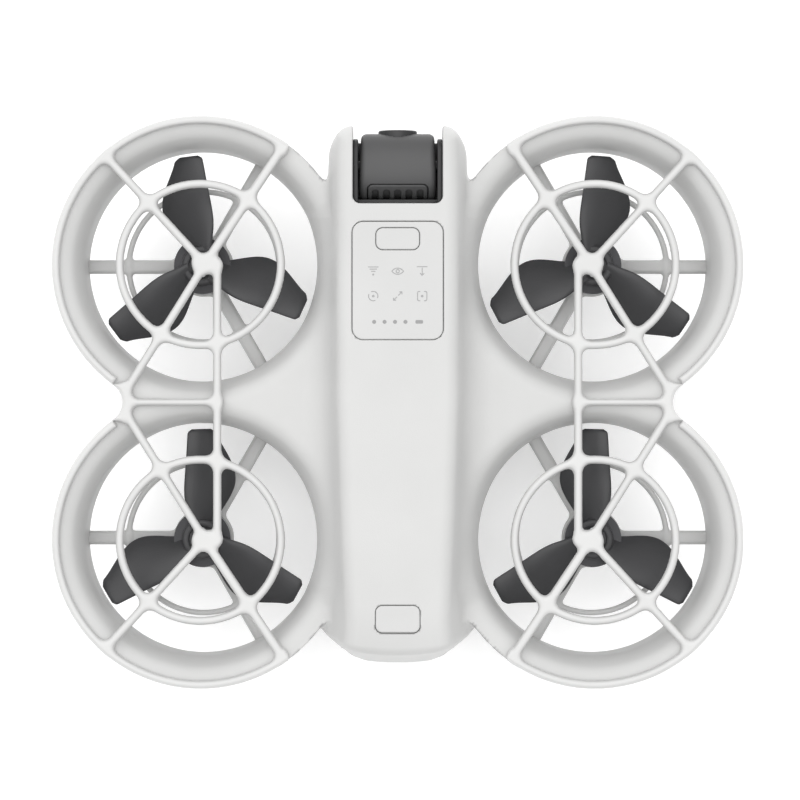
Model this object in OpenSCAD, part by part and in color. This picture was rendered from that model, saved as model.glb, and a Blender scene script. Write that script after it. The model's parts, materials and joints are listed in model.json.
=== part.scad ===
/* [Overall] */
// Width over the four ducts, across the body
width = 157; // [148:1:190]
// Length over the four ducts, nose to tail
length = 130; // [122:1:156]
// Height from the ground to the top of the body
height = 48.5; // [42:0.5:60]

/* [Body] */
// Width of the body at the deck
body_w = 34.6; // [30:0.2:36]
// Width of the flat top of the body
top_w = 25.8; // [22:0.2:28]
// Wall of the casings
wall = 1.4; // [1.1:0.1:1.8]

/* [Ducts and guards] */
// Clearance between blade tip and duct throat
tip_gap = 1.2; // [0.8:0.1:2.5]
// Wall of the ducts
duct_wall = 1.5; // [1.1:0.1:2]
// Thickness of the upper guards
guard_t = 1.6; // [1.2:0.1:2.4]
// Width of the guard bars
bar_w = 1.65; // [1.2:0.05:2.4]

/* [Rotors] */
// Widest chord of a blade, seen from above
chord = 11.6; // [8:0.2:13]
// Blade angle at the widest chord
pitch = 24; // [12:1:30]
// Motor bell radius
bell_r = 6.5; // [5.5:0.1:7]

/* [Camera and buttons] */
// Radius of the camera drum about its tilt axis
cam_r = 8.2; // [7:0.1:8.4]
// Width of the camera drum
cam_w = 17.2; // [15:0.1:17.4]
// Size of the mode button across the body
mode_w = 9.8; // [7:0.1:12]
// Size of the power button across the body
power_w = 10; // [7:0.1:12]

/* [Hidden] */
$fn = 64;
k = min(width / 157, length / 130);
lip_r = 33.7 * k;
throat_r = 26.4 * k;
cx = width / 2 - lip_r;
cy = length / 2 - lip_r;
prop_r = throat_r - tip_gap;
hb = body_w / 2;
ht = top_w / 2;
zt = height;
zg = zt - 7.5;
zl = zg - guard_t;
zthroat = zt - 19.5;
zlow = zt - 30.5;
zp1 = zt - 19.5;
zp0 = zt - 21.5;
zprop = zt - 18.3;
yf = length / 2 - 2.3;
yt = -(length / 2 - 5.2);
ynotch = yf - 17.9;
wn = 10.15;
ycam = yf - 9.3;
zcam = zt - 10.5;
zb = 0.5;
ypow = yt + 11;
ycap = yt + 16;
ypan = ynotch - 17.4;
ymode = ynotch - 8;
bay_y1 = 6;
ysens = 16;
ypad = ycap + 9.5;
bay_z1 = zp0 - 5;
bat_w = body_w - 8.6;
zboard = zt - 6;
wx = 17.6 * k;
wr = (wx * wx + cy * cy - lip_r * lip_r) / (2 * (lip_r - wx));
ROTORS = [[-1, 1, 96, 1], [1, 1, 87, -1], [-1, -1, 91.5, -1], [1, -1, 88.5, 1]];

white = [0.86, 0.86, 0.85];
grey = [0.35, 0.36, 0.37];
dark = [0.16, 0.17, 0.18];
steel = [0.62, 0.63, 0.65];

function unit(v) = v / norm(v);
function corner(p, q, s, r, n) =
    r <= 0 ? [q] :
    let (u = unit(p - q), v = unit(s - q), h = acos(u * v) / 2)
    let (m = q + unit(u + v) * r / sin(h), a = q + u * r / tan(h) - m, b = q + v * r / tan(h) - m)
    let (a0 = atan2(a.y, a.x), da = (atan2(b.y, b.x) - a0 + 900) % 360 - 180)
    [for (i = [0 : n]) m + r * [cos(a0 + da * i / n), sin(a0 + da * i / n)]];
function rounded(p, r, n = 5) =
    [for (i = [0 : len(p) - 1])
        each corner(p[(i + len(p) - 1) % len(p)], p[i], p[(i + 1) % len(p)], r[i], n)];
function mirrored(p) = concat(p, [for (i = [len(p) - 1 : -1 : 0]) [-p[i].x, p[i].y]]);

// rounded rectangle with true round corners
module rrect(w, l, r) {
    square([w - 2 * r, l], center = true);
    square([w, l - 2 * r], center = true);
    for (x = [-1, 1], y = [-1, 1]) translate([x * (w / 2 - r), y * (l / 2 - r)]) circle(r);
}
module slab(w, l, r, z0, z1) { translate([0, 0, z0]) linear_extrude(z1 - z0) rrect(w, l, r); }
module at_rotor(i) { translate([ROTORS[i][0] * cx, ROTORS[i][1] * cy, 0]) children(); }
module alongx(x0, x1) { translate([x0, 0, 0]) rotate([90, 0, 90]) linear_extrude(x1 - x0) children(); }
module both() { children(); mirror([1, 0, 0]) children(); }

// ---- body outline: section across, plan and side, all inset by o
module body_section(o) {
    rotate([90, 0, 0]) linear_extrude(2 * length, center = true)
        polygon(rounded(mirrored([[ht + 0.4 - o * 1.03, zt - o], [hb - 0.9 - o, zt - 8],
            [hb - o, zt - 15.5], [hb - 1 - o, zthroat], [hb - 1 - o, 9], [hb - 2.6 - o, zb + o]]),
            [max(2.2 - o, 0.6), 5, 5, 3, 8, max(3 - o, 0.6), max(3 - o, 0.6), 8, 3, 5, 5, max(2.2 - o, 0.6)]));
}
module body_plan(o) {
    translate([0, 0, -5]) linear_extrude(zt + 10)
        polygon(rounded(mirrored([[9.8, yt + 1.0 + o], [hb - 0.4 - o, yt + 7.5 + o * 0.6], [hb + 0.01 - o, yt + 14],
            [hb + 0.01 - o, ynotch - 9], [hb - 1.1 - o, ynotch - 3], [hb - 2.0 - o, yf - 3.5],
            [hb - 4.2 - o, yf - o]]),
            [6, 3, 12, 14, 10, 3, 1.6, 1.6, 3, 10, 14, 12, 3, 6], 4));
}
module body_side(o) {
    alongx(-40, 40)
        polygon(rounded([[yt + 2 + o, zb + o], [ynotch - 16, zb + o], [ynotch - 2 - o, 12], [ynotch - 2 - o, 22.5 + o],
            [yf - 5, 22.5 + o], [yf - o, zcam - 8], [yf - o, zt - 5], [yf - 5, zt - o],
            [yt + 4.5, zt - o], [yt + 1 + o, zt - 6.5], [yt + o, zp0]],
            [4, 12, 5, 2, 4, 5, 4, 5, 5, 8, 10]));
}
module body_solid(o = 0) { intersection() { body_section(o); body_plan(o); body_side(o); } }
module notch(o = 0) {
    translate([0, 0, zlow - 20]) linear_extrude(80) {
        translate([0, ynotch + 30]) rrect(2 * (wn + o), 60 + 2 * o, 1.7);
    }
}

// ---- ducts
function bell(r0, r1, z0, z1, n) = [for (i = [0 : n]) [r1 - (r1 - r0) * cos(90 * i / n), z0 + (z1 - z0) * sin(90 * i / n)]];
module duct_void() {
    rotate_extrude()
        polygon(concat([[0, zlow - 6], [throat_r, zlow - 6], [throat_r, zthroat]],
            bell(throat_r, lip_r - 2.2, zthroat, zl - 0.8, 8), [[lip_r - 1.7, zl], [lip_r - 1.7, zl + 6], [0, zl + 6]]));
}
module duct_body() {
    rotate_extrude()
        polygon(concat([[0, zlow], [throat_r + duct_wall, zlow], [throat_r + duct_wall, zthroat - 2]],
            bell(throat_r + duct_wall, lip_r - 0.2, zthroat - 2, zl - 2.6, 8),
            [[lip_r, zl - 2.4], [lip_r, zl - 0.5], [lip_r - 0.5, zl], [0, zl]]));
}
module waist(r) {
    t = lip_r / (lip_r + wr);
    px = cx + (wx + wr - 0) * t;
    py = cy * (1 - t);
    difference() {
        polygon([[cx, cy], [px, py], [px, -py], [cx, -cy]]);
        translate([cx + wx + wr, 0]) circle(wr + r);
    }
}
module web() {
    for (s = [-1, 1]) translate([0, 0, zl - 3.4]) linear_extrude(1.8) polygon(rounded(
        [[s * (hb - 4), -cy * 0.62], [s * (cx - 13.5), -cy * 0.3], [s * (cx - 13.5), cy * 0.3], [s * (hb - 4), cy * 0.62]],
        [0, 0, 0, 0], 2));
}
module deck_plate() {
    translate([0, 0, zp0]) linear_extrude(zp1 - zp0) difference() {
        union() {
            translate([0, (ynotch - 4 + ycap) / 2]) square([2 * hb - 2, ynotch - 4 - ycap], center = true);
            for (y = [-cy, cy]) translate([0, y]) square([2 * (cx - throat_r - 0.5), 14], center = true);
        }
        for (y = [-cy * 0.9, -2, cy * 0.75]) translate([0, y]) rrect(22, 21, 3);
    }
}
module arms(i) {
    a0 = ROTORS[i][0] < 0 ? 180 : 0;
    at_rotor(i) translate([0, 0, zlow + 0.4]) {
        difference() {
            union() {
                cylinder(h = 3, r = bell_r + 0.4);
                for (j = [0 : 2]) rotate(a0 + 120 * j) translate([0, -1.6, 0]) cube([throat_r + 2, 3.2, 2.6]);
                translate([0, 0, 0.9]) difference() {
                    cylinder(h = 1.8, r = 18 * k);
                    translate([0, 0, -1]) cylinder(h = 4, r = 16.7 * k);
                }
            }
            translate([0, 0, -1]) cylinder(h = 6, r = 2.6);
            for (j = [0 : 2]) rotate(60 + 120 * j) translate([4.4, 0, -1]) cylinder(h = 6, r = 0.8);
            translate([0, 0, -1]) difference() {
                cylinder(h = 6, r = throat_r + 6);
                translate([0, 0, -1]) cylinder(h = 8, r = throat_r);
            }
        }
    }
}
module duct_all() {
    difference() {
        union() {
            for (i = [0 : 3]) at_rotor(i) duct_body();
            both() translate([0, 0, zl - 2.4]) linear_extrude(2.4) waist(0);
            web();
        }
        for (i = [0 : 3]) at_rotor(i) duct_void();
        intersection() {
            body_solid();
            translate([-50, -100, zp1]) cube([100, 200, 60]);
        }
        translate([-hb - 1, -80, zlow - 5]) cube([2 * hb + 2, 160, zp0 - zlow + 4]);
    }
    deck_plate();
}
module duct(i) {
    sx = ROTORS[i][0];
    sy = ROTORS[i][1];
    color(white) intersection() {
        duct_all();
        translate([sx > 0 ? hb - 1 : -hb + 1 - width, sy > 0 ? 0 : -length, 0]) cube([width, length, zt]);
    }
}
module deck_frame() {
    color(white) difference() {
        deck_plate();
        for (s = [-1, 1], y = [-cy, cy]) translate([s * (hb - 4.4), y, 0]) cylinder(h = 60, r = 1.3);
        for (s = [-1, 1]) translate([s * (hb - 1 + width / 2), 0, 0]) cube([width, 2 * length, 4 * height], center = true);
    }
}
module arm_frames() {
    color(white) for (i = [0 : 3]) arms(i);
}

// ---- casings
module upper_shell() {
    color(white) {
        difference() {
            intersection() {
                body_solid();
                translate([-50, -100, zp1]) cube([100, 200, 60]);
            }
            difference() {
                intersection() {
                    body_solid(wall);
                    union() {
                        translate([-50, -100, zp1 - 1]) cube([100, ynotch - 4 + 100, 60]);
                        translate([-50, 0, zp1 + wall]) cube([100, 100, 60]);
                    }
                }
                notch(wall);
                translate([0, ypan, 0]) slab(23, 29, 3, zt - 2.2, zt);
                translate([0, ypow, 0]) slab(power_w + 3, 9.1, 2, zt - 2.6, zt);
                for (s = [-1, 1], y = [-22, 6]) translate([s * 9.2, y, zboard + 1]) cylinder(h = 8, r = 1.9);
            }
            notch();
            translate([0, ypan, 0]) slab(20.8, 26.9, 2.6, zt - 1, zt + 1);
            translate([0, ymode, 0]) slab(mode_w + 0.4, 5.3, 1.7, zt - 5, zt + 1);
            translate([0, ypow, 0]) slab(power_w + 0.4, 6.5, 1.8, zt - 6, zt + 1);
            for (s = [-1, 1], y = [-22, 6]) translate([s * 9.2, y, zboard]) cylinder(h = 4, r = 0.7);
            translate([0, ycam, zcam]) rotate([0, 90, 0]) cylinder(h = 2 * wn + 2 * wall + 6, r = 1.6, center = true);
        }
    }
}
module belly_shell() {
    color(white) {
        difference() {
            intersection() {
                body_solid();
                translate([-50, ycap + 0.3, -1]) cube([100, ynotch - 4.3 - ycap, zp0 + 1]);
            }
            difference() {
                intersection() {
                    body_solid(wall);
                    translate([-50, ycap - 2, -1]) cube([100, ynotch - 4 - wall - ycap + 2, zp0 + 2]);
                }
                translate([-50, bay_y1, 0]) cube([100, 1.4, bay_z1 + 1.4]);
                translate([-50, yt, bay_z1]) cube([100, bay_y1 - yt + 1, 1.4]);
                for (s = [-1, 1]) translate([s * (bat_w / 2 + 0.3 + 2.5), (yt + bay_y1) / 2, 0])
                    translate([-2.5, -40, 0]) cube([5, bay_y1 - yt - 30 + 20, bay_z1 + 1]);
                for (s = [-1, 1], y = [-cy, cy]) translate([s * (hb - 4.4), y, bay_z1]) cylinder(h = 30, r = 2.1);
            }
            translate([-bat_w / 2 - 0.3, yt - 5, 1.9]) cube([bat_w + 0.6, bay_y1 - yt + 5, bay_z1 - 1.9]);
            for (s = [-1, 1], y = [-cy, cy]) translate([s * (hb - 4.4), y, bay_z1 - 1]) cylinder(h = 30, r = 0.8);
            translate([-hb + 3, 18, 11]) rotate([0, -90, 0]) slab(3.4, 9.2, 1.6, 0, 10);
            translate([0, ysens, -1]) cylinder(h = 6, r = 3.4);
            for (s = [-1, 1]) translate([s * 7, ysens, -1]) cylinder(h = 6, r = 1.7);
            for (s = [-1, 1], y = [ypad, ysens]) translate([s * 11.2, y, 0]) slab(3.4, 14.4, 1.6, -1, 1.2);
        }
    }
}
module control_panel() {
    color([0.89, 0.89, 0.88]) difference() {
        translate([0, ypan, 0]) slab(20.4, 26.5, 2.4, zt - 1, zt);
        translate([0, ymode, 0]) slab(mode_w + 0.4, 5.3, 1.7, zt - 5, zt + 1);
        for (x = [-1, 0, 1], y = [0, 1]) translate([5.5 * x, ypan + 2.1 - 5.6 * y, zt - 0.3]) cylinder(h = 2, r = 1.4);
        for (j = [0 : 3]) translate([-5.3 + 2.35 * j, ypan - 9.3, zt - 0.6]) cylinder(h = 2, r = 0.5);
        translate([4.85, ypan - 9.3, zt - 0.6]) slab(1.8, 0.9, 0.3, 0, 2);
    }
}
module panel_icons() {
    color([0.7, 0.7, 0.7]) for (x = [-1, 0, 1], y = [0, 1]) translate([5.5 * x, ypan + 2.1 - 5.6 * y, zt - 0.3]) difference() {
        cylinder(h = 0.3, r = 1.3);
        translate([0, 0, 0.15]) difference() {
            cylinder(h = 1, r = 1.0);
            translate([0, 0, -1]) rotate(45 * (x + y)) slab(0.5 + 0.15 * y, 1.6 - 0.3 * x, 0.2, 0, 3);
        }
    }
}
module status_lights() {
    color([0.75, 0.75, 0.75]) {
        for (j = [0 : 3]) translate([-5.3 + 2.35 * j, ypan - 9.3, zt - 0.6]) cylinder(h = 0.6, r = 0.45);
        translate([4.85, ypan - 9.3, zt - 0.6]) slab(1.7, 0.8, 0.25, 0, 0.6);
    }
}
module button(w, l, r, y, d) {
    color([0.88, 0.88, 0.87]) translate([0, y, 0]) {
        slab(w, l, r, zt - d, zt);
        slab(w + 1.6, l + 1.2, r, zt - d - 1.0, zt - d + 0.01);
    }
}
module mode_button() { translate([0, ymode, 0]) button(mode_w, 4.9, 1.5, 0, 2.4); }
module power_button() { translate([0, ypow, 0]) button(power_w, 6.1, 1.6, 0, 3.2); }

// ---- inside the body
module main_board() {
    color([0.1, 0.35, 0.2]) difference() {
        translate([0, 0, zboard - 1]) linear_extrude(1) polygon(rounded(mirrored(
            [[7, ypow - 3.6], [11.2, ypow + 2], [11.4, ynotch - 4]]), [1, 3, 1, 1, 3, 1], 3));
        for (s = [-1, 1], y = [-22, 6]) translate([s * 9.2, y, zboard - 2]) cylinder(h = 4, r = 0.8);
    }
}
module board_screws() {
    color(steel) for (s = [-1, 1], y = [-22, 6]) translate([s * 9.2, y, 0]) difference() {
        union() {
            translate([0, 0, zboard - 2.2]) cylinder(h = 1.2, r = 1.5);
            translate([0, 0, zboard - 1.2]) cylinder(h = 3.4, r = 0.65);
        }
        translate([0, 0, zboard - 2.4]) for (a = [0, 90]) rotate(a) slab(1.8, 0.4, 0.1, 0, 0.7);
    }
}
module board_chips() {
    color(dark) {
        translate([0, -6, 0]) slab(12, 12, 0.5, zboard, zboard + 1.4);
        translate([0, -24, 0]) slab(9, 11, 0.4, zboard, zboard + 1.1);
        translate([-5, 14, 0]) slab(8, 7, 0.4, zboard, zboard + 1.1);
        translate([6, 13, 0]) slab(6, 5, 0.4, zboard, zboard + 1);
        translate([0, -38, 0]) slab(13, 4, 0.4, zboard, zboard + 1.6);
    }
}
module heat_sink() {
    color([0.6, 0.6, 0.62]) {
        translate([0, -8, 0]) slab(17, 24, 1, zboard - 2.4, zboard - 1);
        for (j = [-4 : 4]) translate([j * 2, -8, 0]) slab(0.8, 24, 0.3, zboard - 6.5, zboard - 2.3);
    }
}
module tact_switches() {
    color(dark) for (y = [ymode, ypow]) translate([0, y, 0]) {
        slab(4, 4, 0.4, zboard, zboard + 0.7);
        slab(1.8, 1.8, 0.5, zboard + 0.6, zboard + (y > 0 ? 1.9 : 1.1));
    }
}
module usb_socket() {
    color(steel) translate([-hb + 2.2, 18, 11]) rotate([0, -90, 0]) difference() {
        slab(3.2, 9, 1.5, -5.4, 0.7);
        slab(2.6, 8.4, 1.25, -4.6, 2);
    }
}
module usb_tongue() {
    color(dark) translate([-hb + 2.2, 18, 11]) rotate([0, -90, 0]) {
        slab(0.7, 6.7, 0.2, -4.6, 0.1);
        slab(2.5, 8.3, 1.2, -4.6, -3.4);
    }
}
module down_camera() {
    color(dark) translate([0, ysens, 0]) difference() {
        union() {
            translate([0, 0, 0.8]) cylinder(h = 6, r = 3.35);
            translate([0, 0, 1.95]) cylinder(h = 2, r = 4.4);
        }
        cylinder(h = 2.2, r = 2.2);
        cylinder(h = 4.2, r = 1.5);
    }
}
module down_lens() { color([0.1, 0.12, 0.2]) translate([0, ysens, 2.21]) cylinder(h = 1.9, r = 1.48); }
module infrared_sensors() {
    color([0.2, 0.05, 0.1]) for (s = [-1, 1]) translate([s * 7, ysens, 0]) {
        translate([0, 0, 0.8]) cylinder(h = 1.6, r = 1.65);
        translate([0, 0, 1.95]) cylinder(h = 2, r = 2.3);
    }
}
module antennas() {
    color([0.7, 0.5, 0.25]) for (s = [-1, 1]) translate([s * (hb - wall - 3.2), cy - 12.5, zp1])
        slab(0.8, 9, 0.3, 0, 5.5);
}
module bay_contacts() {
    color([0.85, 0.7, 0.35]) for (j = [-2 : 2]) translate([j * 3.2, bay_y1 - 0.25, 7]) slab(1.2, 0.5, 0.1, 0, 5);
}
module shell_screws() {
    color(steel) for (s = [-1, 1], y = [-cy, cy]) translate([s * (hb - 4.4), y, 0]) {
        translate([0, 0, zp1]) cylinder(h = 1, r = 1.9);
        translate([0, 0, zp0 - 3]) cylinder(h = zp1 - zp0 + 3.1, r = 0.75);
    }
}
module landing_pads() {
    color(dark) for (s = [-1, 1], y = [ypad, ysens]) translate([s * 11.2, y, 0]) slab(3.2, 14.2, 1.5, 0, 1.2);
}

// ---- motors
module motor_bases() {
    color([0.3, 0.3, 0.31]) for (i = [0 : 3]) at_rotor(i) translate([0, 0, zlow + 3.4]) difference() {
        union() {
            cylinder(h = 1, r = 6.2);
            cylinder(h = 6.8, r = 2);
        }
        translate([0, 0, -1]) cylinder(h = 9, r = 1.05);
        for (j = [0 : 2]) rotate(60 + 120 * j) translate([4.4, 0, -1]) cylinder(h = 3, r = 0.75);
    }
}
module motor_stators() {
    color(steel) for (i = [0 : 3]) at_rotor(i) translate([0, 0, zlow + 5.2]) linear_extrude(4) difference() {
        union() {
            circle(2.9);
            for (j = [0 : 8]) rotate(40 * j) {
                translate([3.4, 0]) square([2.8, 0.8], center = true);
                translate([4.8, 0]) square([0.6, 2.4], center = true);
            }
        }
        circle(2);
    }
}
module motor_coils() {
    color([0.75, 0.4, 0.2]) for (i = [0 : 3]) at_rotor(i) translate([0, 0, zlow + 4.8]) for (j = [0 : 8]) rotate(40 * j)
        translate([3.75, 0, 0]) difference() {
            slab(1.1, 1.7, 0.3, 0, 4.8);
            translate([0, 0, 0.4]) slab(3, 0.82, 0.01, 0, 4);
        }
}
module base_screws() {
    color(steel) for (i = [0 : 3], j = [0 : 2]) at_rotor(i) rotate(60 + 120 * j) translate([4.4, 0, zlow - 0.4]) {
        difference() {
            cylinder(h = 0.8, r = 1.4);
            translate([0, 0, -0.5]) for (a = [0, 90]) rotate(a) slab(1.8, 0.4, 0.1, 0, 0.9);
        }
        translate([0, 0, 0.7]) cylinder(h = 4, r = 0.7);
    }
}
module motor_bell(i) {
    color([0.22, 0.22, 0.23]) at_rotor(i) translate([0, 0, zlow]) difference() {
        union() {
            difference() {
                translate([0, 0, 4.8]) cylinder(h = 6.4, r = bell_r);
                translate([0, 0, 4]) cylinder(h = 6.2, r = 5.5);
            }
            translate([0, 0, 3]) cylinder(h = 8.2, r = 1);
        }
        for (j = [0 : 5]) rotate(60 * j) translate([3.2, 0, 9.9]) slab(2.6, 1.3, 0.6, 0, 3);
        for (j = [0, 1]) rotate(180 * j + 90) translate([1.7, 0, 10]) cylinder(h = 3, r = 0.5);
    }
}

// half angles of leading and trailing edge seen from above, and blade section at radius t * prop_r
function fchord(t) = t < 0.5 ? 5.4 + (chord - 5.4) * sin(90 * min(1, (t - 0.12) / 0.38))
    : chord - (chord - 6.9) * pow((t - 0.5) / 0.5, 1.35);
function flead(t) = t < 0.3 ? 2.9 + 0.9 * (t - 0.12) / 0.18 : 3.8 - 0.9 * (t - 0.3) / 0.7;
function fpitch(t) = t < 0.5 ? pitch + 8 * (0.5 - t) / 0.4 : pitch - 9 * (t - 0.5) / 0.5;
BT = [0.13, 0.2, 0.28, 0.36, 0.45, 0.54, 0.64, 0.74, 0.84, 0.92, 0.97, 1];
function foil(t, s) =
    let (c = fchord(t) * (t > 0.95 ? 1 - (t - 0.95) * 5 : 1), l = flead(t) - (t > 0.95 ? (t - 0.95) * 22 : 0))
    let (a = tan(fpitch(t)), h = 1.5 - 0.9 * t)
    [for (q = [[0, 0], [0.1, 0.55], [0.3, 0.95], [0.55, 0.85], [0.8, 0.5], [1, 0.1],
            [1, -0.1], [0.8, -0.2], [0.5, -0.1], [0.2, -0.4]])
        [t * prop_r, s * (l - c * q[0]), (l - c * q[0]) * a + h * q[1] * 0.75 + (0.5 - q[0]) * 0.2 + 0.4 * q[0] * (1 - q[0]) * 4]];
module blade(s) {
    m = len(BT);
    p = [for (t = BT) each foil(t, s)];
    side = [for (i = [0 : m - 2], j = [0 : 9])
        let (a = 10 * i + j, b = 10 * i + (j + 1) % 10, c = b + 10, d = a + 10)
        each (s > 0 ? [[a, c, b], [a, d, c]] : [[a, b, c], [a, c, d]])];
    ends = s > 0 ? [[for (j = [0 : 9]) j], [for (j = [9 : -1 : 0]) 10 * (m - 1) + j]]
        : [[for (j = [9 : -1 : 0]) j], [for (j = [0 : 9]) 10 * (m - 1) + j]];
    polyhedron(p, concat(side, ends));
}
module propeller(i) {
    f = ROTORS[i][3];
    color(grey) at_rotor(i) translate([0, 0, zprop]) rotate(ROTORS[i][2]) mirror([0, f < 0 ? 1 : 0, 0]) {
        difference() {
            union() {
                translate([0, 0, -1]) cylinder(h = 3.2, r = 4.1);
                for (j = [0 : 2]) rotate(120 * j) blade(-1);
            }
            translate([0, 0, -6]) cylinder(h = 5, r = bell_r + 0.2);
            translate([0, 0, 1.2]) cylinder(h = 3.2, r = 2.9);
            for (j = [0, 1]) rotate(180 * j + f * (90 - ROTORS[i][2])) translate([1.7, 0, -3]) cylinder(h = 9, r = 0.55);
        }
    }
}
module prop_screws(i) {
    color(steel) at_rotor(i) for (j = [0, 1]) rotate(180 * j + 90) translate([1.7, 0, zprop]) {
        difference() {
            translate([0, 0, 1.2]) cylinder(h = 0.7, r = 1);
            translate([0, 0, 1.6]) for (a = [0, 90]) rotate(a) slab(1.3, 0.3, 0.1, 0, 0.9);
        }
        translate([0, 0, -2]) cylinder(h = 3.3, r = 0.48);
    }
}

// ---- camera
module at_cam() { translate([0, ycam, zcam]) children(); }
module camera_brackets() {
    color(dark) both() difference() {
        translate([0, 0, 0]) alongx(wn - 1.3, wn) translate([ycam - 0.2, zcam]) rrect(13.2, 15.4, 3.2);
        at_cam() rotate([0, 90, 0]) cylinder(h = 30, r = 1.6);
    }
}
module tilt_motor() {
    color(dark) at_cam() rotate([0, 90, 0]) difference() {
        translate([0, 0, wn + wall]) cylinder(h = (hb - 1.7 - wn - 2 * wall) * 2.05 / 2.65, r = 3.6);
        translate([0, 0, wn]) cylinder(h = wall + 1, r = 1.6);
    }
}
module camera_housing() {
    color(grey) at_cam() difference() {
        intersection() {
            rotate([0, 90, 0]) cylinder(h = cam_w, r = cam_r, center = true);
            alongx(-cam_w / 2, cam_w / 2) polygon(rounded([[-9, -9], [cam_r - 1.1, -9], [cam_r - 0.7, 9], [-9, 9]], [0, 2, 2, 0], 3));
        }
        rotate([-90, 0, 0]) cylinder(h = 10, r = 4.5);
        rotate([0, 90, 0]) cylinder(h = 40, r = 1.4, center = true);
        comb_cut();
    }
}
module comb_cut() {
    intersection() {
        alongx(-6.8, 6.8) polygon([[0, 0], [-20, -1], [-20, 22], [-9.6, 18]]);
        rotate([0, 90, 0]) difference() {
            cylinder(h = 14, r = cam_r + 0.2, center = true);
            cylinder(h = 20, r = cam_r - 1.3, center = true);
        }
    }
}
module rear_comb() {
    color(dark) at_cam() difference() {
        intersection() {
            comb_cut();
            rotate([0, 90, 0]) cylinder(h = 13.6, r = cam_r - 0.1, center = true);
        }
        for (j = [-2 : 2]) translate([2.6 * j, 0, 0]) rotate([0, 90, 0]) difference() {
            cylinder(h = 1.5, r = cam_r + 1, center = true);
            cylinder(h = 3, r = cam_r - 0.8, center = true);
        }
    }
}
module lens_barrel() {
    color(dark) at_cam() rotate([-90, 0, 0]) difference() {
        cylinder(h = cam_r + 0.1, r = 4.4);
        translate([0, 0, cam_r - 1.2]) cylinder(h = 3, r = 3.4);
        translate([0, 0, cam_r - 3.4]) cylinder(h = 6, r = 2.2);
    }
}
module lens_glass() {
    color([0.1, 0.12, 0.18]) at_cam() rotate([-90, 0, 0]) {
        translate([0, 0, cam_r - 1.2]) cylinder(h = 0.6, r = 3.35);
        translate([0, 0, cam_r - 3.4]) cylinder(h = 2.3, r = 2.15);
    }
}
module camera_pivots() {
    color(steel) at_cam() both() rotate([0, 90, 0]) translate([0, 0, 6]) cylinder(h = wn + wall - 6 + 0.8, r = 1.4);
}

// ---- battery
module battery_case() {
    color([0.8, 0.8, 0.8]) difference() {
        union() {
            alongx(-bat_w / 2, bat_w / 2) polygon(rounded([[yt + 3, 2.2], [bay_y1 - 0.6, 2.2],
                [bay_y1 - 0.6, bay_z1 - 0.4], [yt + 3, bay_z1 - 0.4]], [0, 1.5, 1.5, 0], 3));
            intersection() {
                body_solid();
                translate([-50, yt - 5, -1]) cube([100, ycap - yt + 5 - 0.3, zp1 + 0.7]);
            }
        }
        translate([-bat_w / 2 + 1.2, yt + 4.2, 3.4]) cube([bat_w - 2.4, bay_y1 - yt - 6, bay_z1 - 5]);
        for (j = [-2 : 2]) translate([j * 3.2, bay_y1 - 1.2, 6]) slab(1.4, 2, 0.1, 0, 7);
        both() translate([hb - 5, ycap - 9.3, 7]) cube([10, 7.6, 8.6]);
    }
}
module battery_cells() {
    color([0.25, 0.35, 0.55]) for (z = [0, 1]) translate([0, (yt + bay_y1) / 2 + 1, 0])
        slab(bat_w - 7.6, bay_y1 - yt - 9, 2, 3.5 + z * (bay_z1 - 5.4) / 2, 3.3 + (z + 1) * (bay_z1 - 5.4) / 2);
}
module battery_contacts() {
    color([0.85, 0.7, 0.35]) for (j = [-2 : 2]) translate([j * 3.2, bay_y1 - 1.2, 6.5]) slab(1.2, 0.6, 0.1, 0, 6);
}
module latch(s) {
    color(dark) translate([s * (hb - 3.4), ycap - 9, 7.3]) mirror([s < 0 ? 1 : 0, 0, 0]) cube([2.6, 7, 8]);
}
module latch_left() { latch(-1); }
module latch_right() { latch(1); }

// ---- upper guards
module bar(a, b, w) {
    d = b - a;
    translate(a) rotate(atan2(d.y, d.x)) translate([0, -w / 2]) square([norm(d), w]);
}
module ex() { linear_extrude(guard_t - 0.02) children(); }
module guard_half() {
    hx = cx - 1.05 * k;
    q = lip_r / 33.7;
    h = [hx, cy];
    tx = (wx + wr) / (lip_r + wr);
    ty = -cy / (lip_r + wr);
    ex() difference() {
        translate([cx, cy]) circle(lip_r);
        translate([cx, cy]) circle(lip_r - 1.6);
        polygon([[cx, cy], [cx - 60 * q, cy + 81.5 * q], [cx - 200, cy + 80], [cx - 200, -100],
            [cx + 60 * (tx - 0.05), cy + 60 * (ty - 0.05) - 60], [cx + 60 * (tx - 0.05), cy + 60 * (ty - 0.05)]]);
    }
    ex() translate([hx, cy]) circle(2.9);
    ex() translate([cx, cy]) difference() {
        circle(19.1 * k);
        circle(17.5 * k);
    }
    ex() bar(h, [cx + 21.7 * q, cy + 24.8 * q], bar_w);
    ex() bar(h, [cx - 18.9 * q, cy + 26.8 * q], bar_w);
    ex() bar(h, [cx + 17.1 * q, 2.4], bar_w);
    ex() bar([cx - 3.85 * k, 0], [cx - 3.85 * k, cy - 2], bar_w);
    ex() polygon([[cx + 19 * q, cy + 26.9 * q], [cx + 18.4 * q, cy + 20.8 * q], [cx + 23.2 * q, cy + 23.4 * q]]);
    ex() polygon([[cx - 19.6 * q, cy + 26.8 * q], [cx - 15 * q, cy + 29.4 * q], [cx - 15.4 * q, cy + 22.2 * q]]);
}
module guard(s) {
    color(white) mirror([s < 0 ? 1 : 0, 0, 0]) translate([0, 0, zl + 0.02]) {
        guard_half();
        mirror([0, 1, 0]) guard_half();
        ex() intersection() {
            waist(0);
            translate([cx + wx + wr, 0]) circle(wr + 1.7);
        }
        ex() translate([cx - 3.85 * k, -0.7]) square([wx + 3.85 * k - 0.5, 1.4]);
    }
}
module guard_left() { guard(-1); }
module guard_right() { guard(1); }

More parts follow.
